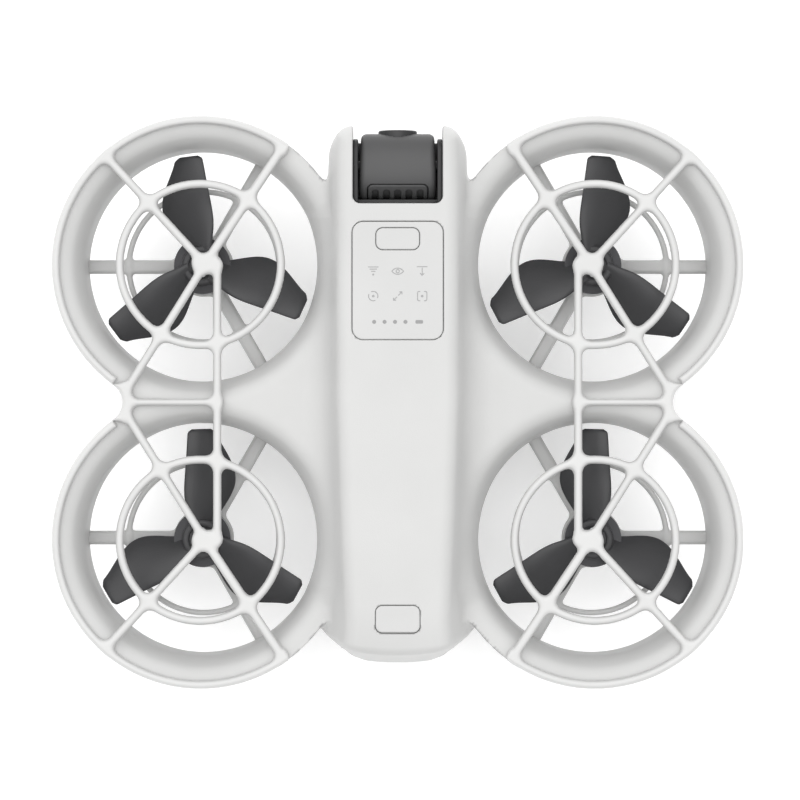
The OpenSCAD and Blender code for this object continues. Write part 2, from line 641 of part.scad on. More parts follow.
module duct_fl() { duct(0); }
module duct_fr() { duct(1); }
module duct_rl() { duct(2); }
module duct_rr() { duct(3); }
module motor_bell_fl() { motor_bell(0); }
module motor_bell_fr() { motor_bell(1); }
module motor_bell_rl() { motor_bell(2); }
module motor_bell_rr() { motor_bell(3); }
module propeller_fl() { propeller(0); }
module propeller_fr() { propeller(1); }
module propeller_rl() { propeller(2); }
module propeller_rr() { propeller(3); }
module prop_screws_fl() { prop_screws(0); }
module prop_screws_fr() { prop_screws(1); }
module prop_screws_rl() { prop_screws(2); }
module prop_screws_rr() { prop_screws(3); }

upper_shell();
deck_frame();
duct_fl();
duct_fr();
duct_rl();
duct_rr();
arm_frames();
belly_shell();
control_panel();
panel_icons();
status_lights();
camera_brackets();
tilt_motor();
main_board();
board_chips();
board_screws();
heat_sink();
tact_switches();
usb_socket();
usb_tongue();
down_camera();
down_lens();
infrared_sensors();
antennas();
motor_bases();
motor_stators();
motor_coils();
base_screws();
shell_screws();
bay_contacts();
landing_pads();
motor_bell_fl();
motor_bell_fr();
motor_bell_rl();
motor_bell_rr();
propeller_fl();
propeller_fr();
propeller_rl();
propeller_rr();
prop_screws_fl();
prop_screws_fr();
prop_screws_rl();
prop_screws_rr();
camera_housing();
lens_barrel();
lens_glass();
rear_comb();
camera_pivots();
mode_button();
power_button();
battery_case();
battery_cells();
battery_contacts();
latch_left();
latch_right();
guard_left();
guard_right();
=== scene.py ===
import bpy, bmesh, json, math
import numpy as np
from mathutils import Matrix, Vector


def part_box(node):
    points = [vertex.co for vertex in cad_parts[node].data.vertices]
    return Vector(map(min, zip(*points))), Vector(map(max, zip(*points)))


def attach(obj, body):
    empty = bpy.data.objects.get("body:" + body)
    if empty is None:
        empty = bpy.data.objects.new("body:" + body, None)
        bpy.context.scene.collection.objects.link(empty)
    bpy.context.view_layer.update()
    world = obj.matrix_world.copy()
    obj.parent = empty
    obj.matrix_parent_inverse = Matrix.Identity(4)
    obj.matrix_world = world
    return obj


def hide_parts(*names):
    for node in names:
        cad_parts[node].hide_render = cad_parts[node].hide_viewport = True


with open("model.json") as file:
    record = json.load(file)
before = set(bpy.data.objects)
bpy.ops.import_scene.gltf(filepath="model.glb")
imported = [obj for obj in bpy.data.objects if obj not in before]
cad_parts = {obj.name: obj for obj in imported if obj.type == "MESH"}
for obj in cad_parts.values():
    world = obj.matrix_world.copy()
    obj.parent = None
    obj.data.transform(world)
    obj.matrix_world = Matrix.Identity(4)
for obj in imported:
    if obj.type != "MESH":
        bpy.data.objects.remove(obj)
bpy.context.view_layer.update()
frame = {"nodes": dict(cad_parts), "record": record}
NODES = frame["nodes"]
REC = frame["record"]


# ---------------------------------------------------------------- sizes from the frame, in mm
def mm(node):
    """Lowest and highest corner of a CAD node at rest."""
    lo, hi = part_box(node)
    return [v * 1000 for v in lo], [v * 1000 for v in hi]


JOINT = {j["name"]: j for j in REC["behaviour"]["joints"]}
CX = abs(JOINT["rotor_spin_fr"]["pos_m"][0]) * 1000
CY = abs(JOINT["rotor_spin_fr"]["pos_m"][1]) * 1000
DUCTS = [n for n in NODES if n.startswith("duct")]
flo, fhi = mm("duct_fr")
LIP = fhi[0] - CX                       # outer radius of a duct's lip
K = LIP / 33.7                          # plan scale against the size designed for
THR = 26.4 * K                          # throat radius
ZL, ZLOW = fhi[2], flo[2]               # top of the lip, bottom of the duct
ulo, uhi = mm("upper_shell")
ZT, ZS = uhi[2], ulo[2]                 # top and bottom of the upper casing
HB, YF = uhi[0] + 0.15, uhi[1]          # half width of the body, nose
YT = mm("battery_case")[0][1] - 1.0     # tail
HT = 12.9 * HB / 17.3                   # half width of the flat top
glo, ghi = mm("guard_right")
plo, phi = mm("control_panel")
alo = mm("arm_frames")[0]
CAMY, CAMZ = [v * 1000 for v in JOINT["camera_tilt"]["pos_m"][1:3]]
YN = YF - 17.9                          # rear wall of the camera notch
WN = 10.15                              # half width of the camera notch
SPIN = {"fl": (-1, 1), "fr": (1, 1), "rl": (-1, -1), "rr": (1, -1)}   # signs of x and y


def detail(full):
    return full


# ---------------------------------------------------------------- shape functions, in mm
def smin(a, b, k):
    """Union of two fields with a fillet of about k mm."""
    h = np.clip(k - np.abs(a - b), 0, None) / k
    return np.minimum(a, b) - h * h * k * 0.25


def smax(a, b, k):
    return -smin(-a, -b, k)


def rbox2(x, y, hx, hy, r):
    """Rounded rectangle in 2-D: half sizes hx and hy, corner radius r."""
    qx, qy = np.abs(x) - hx + r, np.abs(y) - hy + r
    return np.hypot(np.maximum(qx, 0), np.maximum(qy, 0)) + np.minimum(np.maximum(qx, qy), 0) - r


def seg(x, y, a, b):
    """Distance in 2-D to the segment from a to b."""
    (ax, ay), (bx, by) = a, b
    dx, dy = bx - ax, by - ay
    t = np.clip(((x - ax) * dx + (y - ay) * dy) / (dx * dx + dy * dy), 0, 1)
    return np.hypot(x - ax - t * dx, y - ay - t * dy)


def mesh_sdf(f, lo, hi, h, newton=3):
    """Dual-contoured zero surface of f(x, y, z) in mm: vertices, quads and vertex normals."""
    lo, hi = np.array(lo, float), np.array(hi, float)
    n = np.ceil((hi - lo) / h).astype(int) + 1
    ax = [lo[i] + h * np.arange(n[i]) for i in range(3)]
    D = np.empty(n, np.float32)
    for i in range(0, n[0], 24):
        X, Y, Z = np.meshgrid(ax[0][i:i + 24], ax[1], ax[2], indexing="ij")
        D[i:i + 24] = f(X, Y, Z)
    s = D < 0
    m = n - 1
    acc = np.zeros((*m, 3), np.float32)
    cnt = np.zeros(m, np.float32)
    edges = []
    for a in range(3):
        sl0 = [slice(None)] * 3
        sl1 = [slice(None)] * 3
        sl0[a], sl1[a] = slice(0, -1), slice(1, None)
        A, B = D[tuple(sl0)], D[tuple(sl1)]
        idx = np.argwhere(s[tuple(sl0)] != s[tuple(sl1)])
        va, vb = A[tuple(idx.T)], B[tuple(idx.T)]
        p = lo + h * idx.astype(float)
        p[:, a] += h * va / (va - vb)
        b, c = (a + 1) % 3, (a + 2) % 3
        ok = (idx[:, b] > 0) & (idx[:, b] < m[b]) & (idx[:, c] > 0) & (idx[:, c] < m[c])
        idx, p, va = idx[ok], p[ok], va[ok]
        cells = []
        for ob, oc in ((0, 0), (1, 0), (1, 1), (0, 1)):
            q = idx.copy()
            q[:, b] -= ob
            q[:, c] -= oc
            np.add.at(acc, tuple(q.T), p)
            np.add.at(cnt, tuple(q.T), 1)
            cells.append(q)
        edges.append((cells, va < 0))
    use = cnt > 0
    ids = -np.ones(m, np.int64)
    ids[use] = np.arange(use.sum())
    V = acc[use] / cnt[use][:, None]
    V = V.astype(float)
    quads = []
    for cells, inside in edges:
        q = np.stack([ids[tuple(c.T)] for c in cells], 1)
        q[~inside] = q[~inside][:, ::-1]
        quads.append(q)
    Q = np.concatenate(quads)

    def grad(P, e=0.02):
        g = np.empty_like(P)
        for i in range(3):
            d = np.zeros(3)
            d[i] = e
            g[:, i] = f(*(P + d).T) - f(*(P - d).T)
        return g / (2 * e)
    for _ in range(newton):
        g = grad(V)
        v = f(*V.T)
        V -= np.clip(v / np.maximum((g * g).sum(1), 0.05), -0.4 * h, 0.4 * h)[:, None] * g
    g = grad(V)
    return V, Q, g / np.maximum(np.linalg.norm(g, axis=1), 1e-6)[:, None]


def piece(name, V, Q, body, mat, nodes, N=None, angle=None):
    """Object from vertices in mm that rides a body and replaces CAD nodes."""
    me = bpy.data.meshes.new(name)
    me.from_pydata((V / 1000).tolist(), [], Q.tolist() if hasattr(Q, "tolist") else Q)
    me.polygons.foreach_set("use_smooth", [True] * len(me.polygons))
    me.update()
    if angle is not None:
        me.set_sharp_from_angle(angle=math.radians(angle))
    if N is not None:
        me.normals_split_custom_set_from_vertices(N.tolist())
    o = bpy.data.objects.new(name, me)
    bpy.context.scene.collection.objects.link(o)
    me.materials.append(mat)
    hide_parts(*nodes)
    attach(o, body)
    return o


def ring_faces(base, i, n):
    """Quads between ring i and the next, of n vertices each."""
    a = base + i * n
    return [(a + j, a + (j + 1) % n, a + n + (j + 1) % n, a + n + j) for j in range(n)]


def turn(profile, n, base=0):
    """Vertices and faces of a profile (r, h) turned about +Z, numbered from base."""
    V, F = [], []
    for r, h in profile:
        V += [(r * math.cos(2 * math.pi * a / n), r * math.sin(2 * math.pi * a / n), h)
              for a in range(n)]
    for i in range(len(profile) - 1):
        F += ring_faces(base, i, n)
    return V, F


def weld(o, dist, clean):
    """Joins coincident vertices in place and turns the faces outwards."""
    bm = bmesh.new()
    bm.from_mesh(o.data)
    bmesh.ops.remove_doubles(bm, verts=bm.verts, dist=dist)
    if clean:
        bmesh.ops.dissolve_degenerate(bm, edges=bm.edges, dist=1e-7)
    bmesh.ops.recalc_face_normals(bm, faces=bm.faces)
    bm.to_mesh(o.data)
    bm.free()


# ---------------------------------------------------------------- body and ducts
BELL_A = 6.0 * K                        # the bell's flare in plan
BELL_B = ZL - ZS                        # and in height
WX = 17.6 * K                           # waist between a front and a rear duct
WR = (WX ** 2 + CY ** 2 - LIP ** 2) / (2 * (LIP - WX))
WEND = CY * WR / (LIP + WR)             # where the waist's arc meets the lip, in y
WEDGE = (WX + WR) * LIP / (LIP + WR)    # and in x from the rotor axis


def ellipse(u, v, a, b):
    """Field of an ellipse with half axes a and b, near enough a distance close to its edge."""
    k0 = np.hypot(u / a, v / b)
    k1 = np.hypot(u / (a * a), v / (b * b))
    return np.where(k1 > 1e-5, k0 * (k0 - 1) / np.maximum(k1, 1e-5), -min(a, b))


def bell(r, z, th):
    """Inside of the bellmouth, th mm into its wall."""
    u, v = np.minimum(r - THR - BELL_A, 0), np.maximum(z - ZS, 0)
    return ellipse(u, v, BELL_A - th, BELL_B - th)


def body_outer(x, y, z, o=0.0):
    """Outside of the body casing, inset by o."""
    ax = np.abs(x)
    ht = HT - 1.5 * np.clip(-y / 38, 0, 1.3)
    top = z - (ZT - 0.9 * np.clip((-y - 46) / 10, 0, 1.5) ** 2) + o
    # shoulder, flank and side planes, the shoulder leans in more towards the tail
    p1 = ((ax - ht) * 0.90 + (z - ZT) * 0.435) + o
    p2 = ((ax - HB + 0.6) * 0.994 + (z - ZT + 9.5) * 0.105) + o
    d = smax(smax(top, p1, 2.2), p2, 3.0)
    low = np.clip((z - 33) / 15, 0, 1)
    tail = ax * 0.62 - y * 0.785 - (HB - 0.2) * 0.62 + (YT + 7.4) * 0.785 + 1.2 * low * low + o
    back = -y + YT + 0.35 + 0.008 * ax * ax + 3.2 * low - 0.6 * low * low + o
    ear = (ax - HB + 0.8) * 0.9988 + (y - 40.7 * YF / 62.7) * 0.0497 + o
    nose = ax * 0.745 + y * 0.667 - 12.0 * 0.745 - YF * 0.667 + o
    front = y - YF + 0.25 * np.clip(z - 41, 0, None) ** 1.5 * 0.5 + o
    d = smax(d, tail, 1.2)
    d = smax(d, back, 1.6)
    d = smax(d, ear, 2.5)
    d = smax(smax(d, nose, 1.6), front, 1.5)
    return d


def duct_solid(x, y, z):
    """The four ducts with the deck between them, and the radius about the nearest rotor."""
    ax, ay = np.abs(x), np.abs(y)
    r = np.hypot(ax - CX, ay - CY)
    r2 = np.hypot(ax - CX, ay + CY)
    e1 = bell(r, z, 0)
    wall = smax(smax(np.maximum(e1, ZLOW - z), -bell(r, z, 1.5), 0.6), r - LIP, 1.0)
    lip = smax(smax(np.abs(r - LIP + 0.8) - 0.8, z - ZL, 0.8), ZL - 3.2 - z, 0.8)
    d = np.minimum(wall, lip)
    waist = np.maximum.reduce([ay - WEND, CX - ax, ax - CX - WEDGE,
                               WR - np.hypot(ax - CX - WX - WR, y), ZL - 2.6 - z])
    deck = np.maximum.reduce([ax - CX, ay - CY * 0.9, ZL - 2.2 - z])
    d = np.minimum(np.minimum(d, waist), deck)
    bells = smax(smax(e1, bell(r2, z, 0), 2.2), z - ZL, 0.8)
    return np.maximum(d, bells), r


def skin(x, y, z):
    """The casing and ducts as one moulding, with its notch, recess and button holes."""
    ax = np.abs(x)
    d, r = duct_solid(x, y, z)
    b = body_outer(x, y, z)
    low = np.where(y > YN - 4.0, ZS - z, ZS - 2 - z)
    b = np.maximum(b, low)
    f = smin(d, b, 5.5 - 2.8 * np.clip((np.abs(y) - 42) / 4, 0, 1))
    f = smax(f, THR - r, 0.5)
    f = np.maximum(f, ZLOW - z)
    inner = body_outer(x, y, z, 1.4)
    inner = np.maximum(inner, np.where(y > YN - 5.4, ZS + 1.4 - z, -1))
    cut = rbox2(ax, y - YN - 30, WN, 30, 1.7)
    inner = smax(inner, 1.4 - cut, 0.5)
    px, py = (plo[0] + phi[0]) / 2, (plo[1] + phi[1]) / 2
    pan = rbox2(x - px, y - py, (phi[0] - plo[0]) / 2 + 0.1, (phi[1] - plo[1]) / 2 + 0.1, 2.5)
    f = np.maximum(f, -inner)
    f = np.maximum(f, -cut)
    f = np.maximum(f, -np.maximum(pan, ZT - 0.95 - z))
    f = np.maximum(f, -np.maximum(hole(x, y, "mode_button", 0.1), ZT - 6 - z))
    f = np.maximum(f, -np.maximum(hole(x, y, "power_button", 0.1), ZT - 7 - z))
    return f


def button_sizes(node):
    """Centre and half sizes of a button's cap, without its flange."""
    lo, hi = mm(node)
    return ((lo[0] + hi[0]) / 2, (lo[1] + hi[1]) / 2,
            (hi[0] - lo[0] - 1.6) / 2, (hi[1] - lo[1] - 1.2) / 2)


def hole(x, y, node, gap):
    cx, cy, w, l = button_sizes(node)
    return rbox2(x - cx, y - cy, w + gap, l + gap, 1.55 + gap)


# ---------------------------------------------------------------- upper guards
def guard_plan(x, y):
    """Plan of the right guard, both ends alike."""
    ay = np.abs(y)
    w = 0.82
    u, v = x - CX, ay - CY
    r = np.hypot(u, v)
    hub = (CX - 1.05 * K, CY)
    bx, by = -0.593, 0.805
    rim = np.maximum(np.abs(r - LIP + 0.85) - 0.85, bx * v - by * u - 0.1)
    arc = np.hypot(x - CX - WX - WR, y) - WR
    strip = np.maximum.reduce([np.abs(arc - 0.85) - 0.85, ay - WEND - 0.3,
                               CX - x, x - CX - WEDGE - 0.2])
    d = np.minimum(rim, strip)
    bars = [seg(x, ay, hub, (CX + 21.6 * K, CY + 24.7 * K)) - w,
            seg(x, ay, hub, (CX - 18.75 * K, CY + 26.6 * K)) - w - 0.1,
            seg(x, ay, hub, (CX + 17.0 * K, 2.4)) - w,
            seg(x, ay, (CX - 3.85 * K, 0), (CX - 3.85 * K, CY - 0.6)) - w,
            seg(x, ay, (CX - 3.4 * K, CY + 0.1), (CX + 0.5 * K, CY + 0.1)) - 0.95,
            seg(x, ay, (CX - 3.85 * K, 0), (CX + WX - 1.4, 0)) - 0.66,
            np.abs(r - 18.3 * K) - 0.8]
    for b in bars:
        d = smin(d, b, 2.2)
    d = smax(d, r - LIP - np.where((ay < WEND + 0.2) & (x > CX), 50, 0), 0.3)
    return np.maximum(d, np.where(x > CX, -arc, -1))


def guard(x, y, z):
    zm, t = (glo[2] + ghi[2]) / 2, (ghi[2] - glo[2]) / 2
    d = guard_plan(np.abs(x), y)
    up = z - zm - t
    return np.maximum(smax(d + 0.15 * np.clip((z - zm) / t, -1, 1), up, 0.7), zm - t - z)


def guards():
    V, Q, N = mesh_sdf(guard, (glo[0] - 1, glo[1] - 1, glo[2] - 0.51),
                       (ghi[0] + 1, ghi[1] + 1, ghi[2] + 1), detail(0.31))
    V[:, 0] = np.clip(V[:, 0], glo[0], ghi[0])
    V[:, 1] = np.clip(V[:, 1], glo[1], ghi[1])
    piece("guard_right_lattice", V, Q, "guard_right_body", GUARD_LIT,
          ("guard_right",), N)
    M = np.array([-1, 1, 1])
    piece("guard_left_lattice", V * M, Q[:, ::-1], "guard_left_body", GUARD_LIT,
          ("guard_left",), N * M)


# ---------------------------------------------------------------- arms and ring under each rotor
def arm_frame(x, y, z):
    """Left rotor's frame about its axis, arms at 180 and +-60 degrees."""
    r = np.hypot(x, y)
    z0 = alo[2]
    d = None
    for a in (180, 60, -60):
        c, s = math.cos(math.radians(a)), math.sin(math.radians(a))
        u, v = x * c + y * s, -x * s + y * c
        arm = smax(smax(np.abs(v) - 1.6, np.abs(z - z0 - 1.3) - 1.3, 1.0), -u, 0.2)
        d = arm if d is None else smin(d, arm, 1.5)
    ring = smax(np.abs(r - 17.35 * K) - 0.65, np.abs(z - z0 - 1.8) - 0.9, 0.8)
    boss = smax(r - 6.9, np.abs(z - z0 - 1.5) - 1.5, 1.0)
    d = smin(smin(d, ring, 0.9), boss, 1.2)
    d = np.maximum(d, 2.6 - r)
    for j in range(3):
        a = math.radians(60 + 120 * j)
        d = np.maximum(d, 0.8 - np.hypot(x - 4.4 * math.cos(a), y - 4.4 * math.sin(a)))
    return np.maximum(d, r - THR - 0.4)


def arm_frames():
    V, Q, N = mesh_sdf(arm_frame, (-THR - 1, -THR - 1, alo[2] - 1),
                       (THR + 1, THR + 1, alo[2] + 4), detail(0.42))
    vs, qs, ns = [], [], []
    k = 0
    for sx, sy in SPIN.values():
        flip = np.array([-sx, 1, 1])
        vs.append(V * flip + np.array([sx * CX, sy * CY, 0]))
        qs.append((Q if sx < 0 else Q[:, ::-1]) + k)
        ns.append(N * flip)
        k += len(V)
    piece("lower_arm_frames", np.concatenate(vs), np.concatenate(qs), "airframe", WHITE,
          ("arm_frames",), np.concatenate(ns))


# ---------------------------------------------------------------- propellers
BLADE = {"fl": (96, 1), "fr": (87, -1), "rl": (91.5, -1), "rr": (88.5, 1)}   # angle at rest, hand
TIP = THR - 1.2
TURNS = 48                              # sides of the turned hub


def blade_station(t):
    """Lead offset, chord, pitch angle and thickness at radius t * TIP."""
    ts = [0.10, 0.16, 0.22, 0.30, 0.38, 0.46, 0.54, 0.64, 0.74, 0.84, 0.93, 0.975, 1.0]
    lead = [2.6, 2.7, 3.0, 3.5, 3.8, 3.8, 3.65, 3.4, 3.15, 2.95, 2.8, 2.6, 1.7]
    chord = [5.2, 5.8, 7.0, 8.9, 10.5, 11.5, 11.7, 11.1, 9.8, 8.2, 6.9, 6.2, 4.3]
    pit = [30, 30, 29, 28, 26.5, 25, 23.5, 21.5, 19.5, 18, 16.5, 16, 15.5]
    thick = [1.9, 1.8, 1.6, 1.45, 1.3, 1.2, 1.1, 1.0, 0.9, 0.8, 0.7, 0.6, 0.45]
    return [float(np.interp(t, ts, v)) for v in (lead, chord, pit, thick)]


def smooth_table():
    """Stations resampled finely and smoothed along the span."""
    ts = np.concatenate([np.linspace(0.10, 0.96, 34), np.linspace(0.968, 1.0, 7)])
    S = np.array([blade_station(t) for t in ts])
    for _ in range(6):
        S[1:-5] = (S[:-6] + 2 * S[1:-5] + S[2:-4]) / 4
    return ts, S


def propeller(tag):
    """Three cambered blades and a turned hub."""
    ang, spin = BLADE[tag]
    sx, sy = SPIN[tag]
    z0 = ZT - 18.3
    ts, S = smooth_table()
    n = 18
    th = np.linspace(0, 2 * np.pi, 2 * n, endpoint=False)
    V, F = [], []
    for j in range(3):
        base = len(V)
        for t, (l, c, p, k) in zip(ts, S):
            for a in th:
                q = 0.5 - 0.5 * math.cos(a)
                side = 1 if a < math.pi else -1
                foil = (1.48 * math.sqrt(max(q, 0)) - 0.63 * q - 1.76 * q * q
                        + 1.42 * q ** 3 - 0.52 * q ** 4)
                half = k * 0.5 * foil * 2 + 0.06
                camber = 0.9 * q * (1 - q) * 4 * (c / 11.6) * 0.8
                tang = l - c * q
                zz = tang * math.tan(math.radians(p)) - 0.25 + camber + side * max(half, 0.1)
                V.append((t * TIP, -tang, zz))
        m = 2 * n
        for i in range(len(ts) - 1):
            F += ring_faces(base, i, m)
        F.append(tuple(base + (len(ts) - 1) * m + a for a in range(m)))
        F.append(tuple(base + a for a in range(m - 1, -1, -1)))
        W = np.array(V[base:])
        c, s = math.cos(math.radians(120 * j)), math.sin(math.radians(120 * j))
        W[:, :2] = np.stack([W[:, 0] * c - W[:, 1] * s, W[:, 0] * s + W[:, 1] * c], 1)
        V[base:] = [tuple(w) for w in W]
    # hub turned from a rounded profile
    prof = [(0.0, -1.0), (4.35, -1.0), (4.6, -0.8), (4.6, 0.9), (4.45, 1.3), (4.1, 1.5),
            (3.3, 1.55), (3.05, 1.45), (2.95, 1.1), (2.9, 0.75), (0.9, 0.75), (0.75, 0.95),
            (0, 0.95)]
    hub, faces = turn(prof, TURNS, len(V))
    V = np.array(V + hub)
    F += faces
    if spin < 0:
        V[:, 1] *= -1
        F = [f[::-1] for f in F]
    c, s = math.cos(math.radians(ang)), math.sin(math.radians(ang))
    V[:, :2] = np.stack([V[:, 0] * c - V[:, 1] * s, V[:, 0] * s + V[:, 1] * c], 1)
    V += np.array([sx * CX, sy * CY, z0])
    weld(piece("propeller_blades_" + tag, V, F, "rotor_" + tag, PROP,
               ("propeller_" + tag,), None, 40), 1e-6, False)


# ---------------------------------------------------------------- camera head
CAM_R = 8.2                             # radius of the drum about the tilt axis


def polar(y, z):
    """Offsets, radius and angle about the tilt axis, the angle from the comb's upper edge."""
    u, w = y - CAMY, z - CAMZ
    return u, w, np.hypot(u, w), (np.arctan2(w, u) - 2.147 + math.pi) % (2 * math.pi) - math.pi


def comb_area(x, s, grow):
    """Outline of the comb on the unrolled drum."""
    return rbox2(x, s - 4.6, 6.75 + grow, 4.6 + grow, 1.1 + grow)


def housing(x, y, z):
    u, w, r, t = polar(y, z)
    half = 8.78 - 0.03 * (u + CAM_R)
    side = np.abs(x) - half
    prof = smax(smax(r - CAM_R, u - 7.6, 1.1), w - 7.85, 2.4)
    d = smax(prof, side, 1.5)
    nose = np.abs(x) * 0.80 + u * 0.60 - 8.7 * 0.80 - 7.3 * 0.60
    d = smax(d, nose, 0.5)
    d = np.maximum(d, -np.maximum(comb_area(x, t * CAM_R, 0.2), 6.9 - r))
    d = np.maximum(d, -np.maximum(np.hypot(x, w) - 4.5, 3 - u))
    return np.maximum(d, -np.maximum(np.hypot(u, w) - 1.5, 7.6 - np.abs(x)))


def comb(x, y, z):
    u, w, r, t = polar(y, z)
    s = t * CAM_R
    d = smax(r - 8.15, 6.95 - r, 0.3)
    d = smax(d, comb_area(x, s, 0.0), 0.35)
    for j in range(-2, 3):
        slot = rbox2(x - 2.54 * j, s - 7.0, 0.74, 5.75, 0.7)
        d = smax(d, -np.maximum(slot, 7.35 - r), 0.2)
    return d


def liner(x, y, z):
    u, w, r, t = polar(y, z)
    d = rbox2(x, y - YN - 30, WN - 0.06, 30, 1.66)
    rear = np.maximum.reduce([8.46 - r, y - YN - 3.4, w - 4.2])
    ledge = np.maximum.reduce([8.5 - r, 7.3 - np.abs(x), w + 8.5])
    d = np.maximum(d, np.minimum(np.minimum(WN - 1.2 - np.abs(x), rear), ledge))
    side = smax(smax(u - 6.2, w - 7.0, 3.0), -w - 8.9, 0.8)
    return smax(d, side, 0.3)


def lens(name, profile, node, mat, angle=35):
    """A turned piece on the camera's optical axis."""
    V, F = turn(profile, 56)
    V = np.array(V)
    W = np.stack([V[:, 0], V[:, 2] + CAMY, -V[:, 1] + CAMZ], 1)
    weld(piece(name, W, F, "camera", mat, node, None, angle), 2e-6, True)


def camera_head():
    lo, hi = (-9.2, CAMY - 8.6, CAMZ - 8.6), (9.2, CAMY + 8.2, CAMZ + 8.6)
    V, Q, N = mesh_sdf(housing, lo, hi, detail(0.22))
    piece("camera_shell", V, Q, "camera", CAMGREY, ("camera_housing",), N)
    V, Q, N = mesh_sdf(comb, (-7.2, CAMY - 8.6, CAMZ - 2.5), (7.2, CAMY - 3, CAMZ + 8.6),
                       detail(0.18))
    piece("camera_vent_comb", V, Q, "camera", CAMGREY, ("rear_comb",), N)
    V, Q, N = mesh_sdf(liner, (-WN - 0.4, YN - 0.3, CAMZ - 9.4),
                       (WN + 0.4, CAMY + 7, CAMZ + 7.6), detail(0.24))
    piece("camera_bracket_liner", V, Q, "airframe", DARK,
          ("camera_brackets",), N)
    R = CAM_R
    lens("lens_ring", [(0, 4.3), (2.2, 4.3), (2.2, R - 2.6), (2.6, R - 2.4), (3.35, R - 1.5),
                       (3.45, R - 0.55), (3.6, R - 0.1), (3.85, R + 0.08), (4.2, R + 0.05),
                       (4.38, R - 0.15), (4.4, R - 0.4), (4.4, 4.0), (4.3, 3.2), (0, 3.2)],
         ("lens_barrel",), DARK)
    lens("lens_front_glass", [(0, R - 0.55), (1.2, R - 0.58), (2.2, R - 0.68), (3.0, R - 0.84),
                              (3.34, R - 0.95), (3.34, R - 1.15), (2.6, R - 1.2),
                              (2.15, R - 1.5), (2.12, R - 3.3), (1.2, R - 3.1), (0, R - 3.0)],
         ("lens_glass",), GLASS, 60)


# ---------------------------------------------------------------- control panel and buttons
def slab_sdf(cx, cy, w, l, r, z0, z1, k, cuts=()):
    """A rounded slab with a top edge of radius k and rounded rectangles cut through it."""
    def f(x, y, z):
        d = rbox2(x - cx, y - cy, w, l, r)
        for c in cuts:
            d = smax(d, -rbox2(x - c[0], y - c[1], c[2], c[3], c[4]), 0.05)
        return smax(smax(d, z - z1, k), z0 - z, 0.1)
    return f


def panel():
    px, py = (plo[0] + phi[0]) / 2, (plo[1] + phi[1]) / 2
    w, l = (phi[0] - plo[0]) / 2, (phi[1] - plo[1]) / 2
    x, y, bw, bl = button_sizes("mode_button")
    f = slab_sdf(px, py, w, l, 2.4, plo[2], ZT - 0.02, 0.26,
                 ((x, y, bw + 0.1, bl + 0.1, 1.65),))
    V, Q, N = mesh_sdf(f, (plo[0] - 0.4, plo[1] - 0.4, plo[2] - 0.3),
                       (phi[0] + 0.4, phi[1] + 0.4, ZT + 0.3), detail(0.24))
    piece("panel_plate", V, Q, "airframe", PANEL, ("control_panel",), N)
    for node, body in (("mode_button", "mode"), ("power_button", "power")):
        x, y, bw, bl = button_sizes(node)
        lo, hi = mm(node)
        top = slab_sdf(x, y, bw, bl, 1.55, hi[2] - 2, hi[2] - 0.02, 0.36)
        flange = slab_sdf(x, y, bw + 0.8, bl + 0.6, 1.55, lo[2], lo[2] + 0.95, 0.2)
        stem = slab_sdf(x, y, bw, bl, 1.55, lo[2] + 0.5, hi[2] - 1.5, 0.1)

        def f(X, Y, Z):
            d = np.minimum(np.minimum(top(X, Y, Z), flange(X, Y, Z)), stem(X, Y, Z))
            dish = 0.06 * np.exp(-((X - x) / 3.2) ** 2 - ((Y - y) / 1.7) ** 2)
            return d + dish * (Z > hi[2] - 0.5)
        V, Q, N = mesh_sdf(f, (lo[0] - 0.5, lo[1] - 0.5, lo[2] - 0.4),
                           (hi[0] + 0.5, hi[1] + 0.5, hi[2] + 0.4), detail(0.22))
        piece(node + "_cap", V, Q, body, PANEL, (node,), N)


